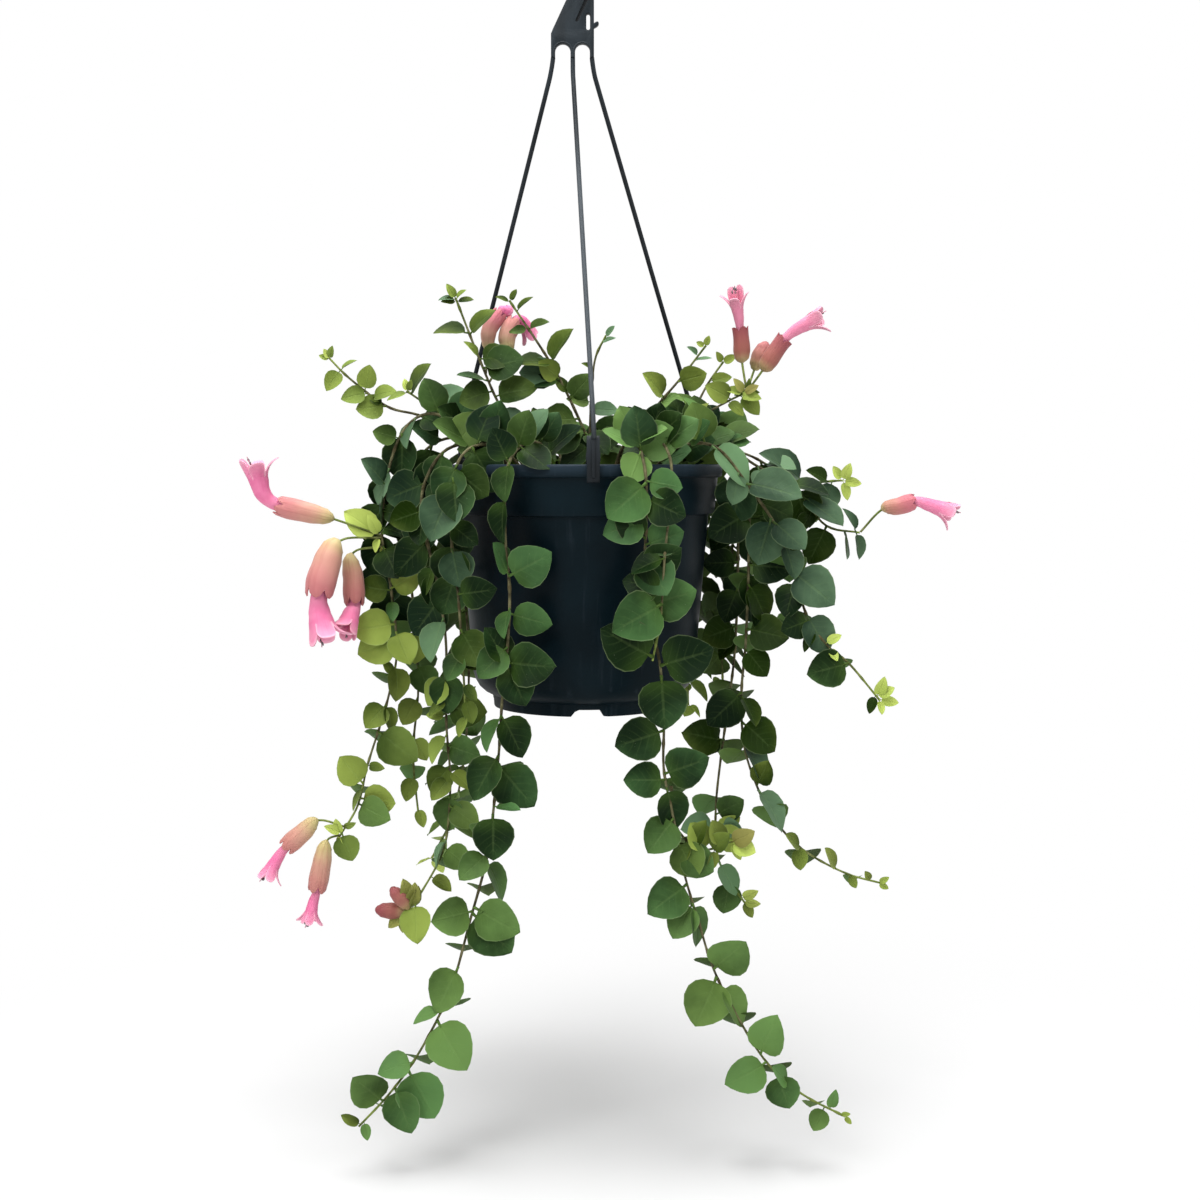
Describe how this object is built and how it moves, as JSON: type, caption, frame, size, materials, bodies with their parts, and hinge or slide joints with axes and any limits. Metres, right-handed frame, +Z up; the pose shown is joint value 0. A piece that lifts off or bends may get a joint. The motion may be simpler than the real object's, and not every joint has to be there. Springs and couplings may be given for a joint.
{
  "type": "hanging basket plant",
  "caption": "Lipstick plant with trailing leafy vines and pink tubular flowers in a dark plastic hanging pot on a three-leg hanger with a hook.",
  "frame": {"origin": "middle of the hook's seat, the underside of the crown where a rail or ceiling hook bears", "axes": "+Z up along the pot's axis, -Y towards the front of the pot, +X to the right seen from the front"},
  "size_m": [0.3875, 0.2059, 0.636],
  "materials": {
    "pot_plastic": "satin, very dark blue-black",
    "hanger_plastic": "satin, dark slate",
    "potting_mix": "crumbly peat and bark",
    "leaf": "fleshy, waxy green",
    "calyx": "soft, finely downy, salmon red",
    "petal": "soft pink"
  },
  "bodies": {
    "root": {"pot": "pot_plastic", "potting_mix": "potting_mix", "hanger_hook": "hanger_plastic", "hanger_leg_front": "hanger_plastic", "hanger_leg_right": "hanger_plastic", "hanger_leg_left": "hanger_plastic", "vine_front_left": "leaf", "vine_front_right": "leaf", "vine_right": "leaf", "vine_right_low": "leaf", "vine_right_arch": "leaf", "vine_left": "leaf", "vine_left_middle": "leaf", "vine_left_outer": "leaf", "vine_back_right": "leaf", "vine_back": "leaf", "vine_back_left": "leaf", "vine_right_reach": "leaf", "vine_right_crown": "leaf", "vine_left_inner": "leaf", "vine_front_inner": "leaf", "vine_back_centre": "leaf", "vine_back_side": "leaf", "sprout_tall_left": "leaf", "sprout_tall_middle": "leaf", "sprout_left": "leaf", "sprout_left_short": "leaf", "sprout_flowering": "leaf", "sprout_right": "leaf", "sprout_right_short": "leaf", "sprout_back": "leaf", "flower_upright_calyx": "calyx", "flower_upright_petals": "petal", "flower_leaning_calyx": "calyx", "flower_leaning_petals": "petal", "flower_right_calyx": "calyx", "flower_right_petals": "petal", "flower_left_upper_calyx": "calyx", "flower_left_upper_petals": "petal", "flower_left_front_calyx": "calyx", "flower_left_front_petals": "petal", "flower_left_back_calyx": "calyx", "flower_left_back_petals": "petal", "flower_low_outer_calyx": "calyx", "flower_low_outer_petals": "petal", "flower_low_inner_calyx": "calyx", "flower_low_inner_petals": "petal", "flower_top_left_calyx": "calyx", "flower_top_left_petals": "petal", "flower_top_right_calyx": "calyx", "flower_top_right_petals": "petal", "bud_leaning": "calyx", "bud_low_upper": "calyx", "bud_low_lower": "calyx"}
  },
  "joints": []
}
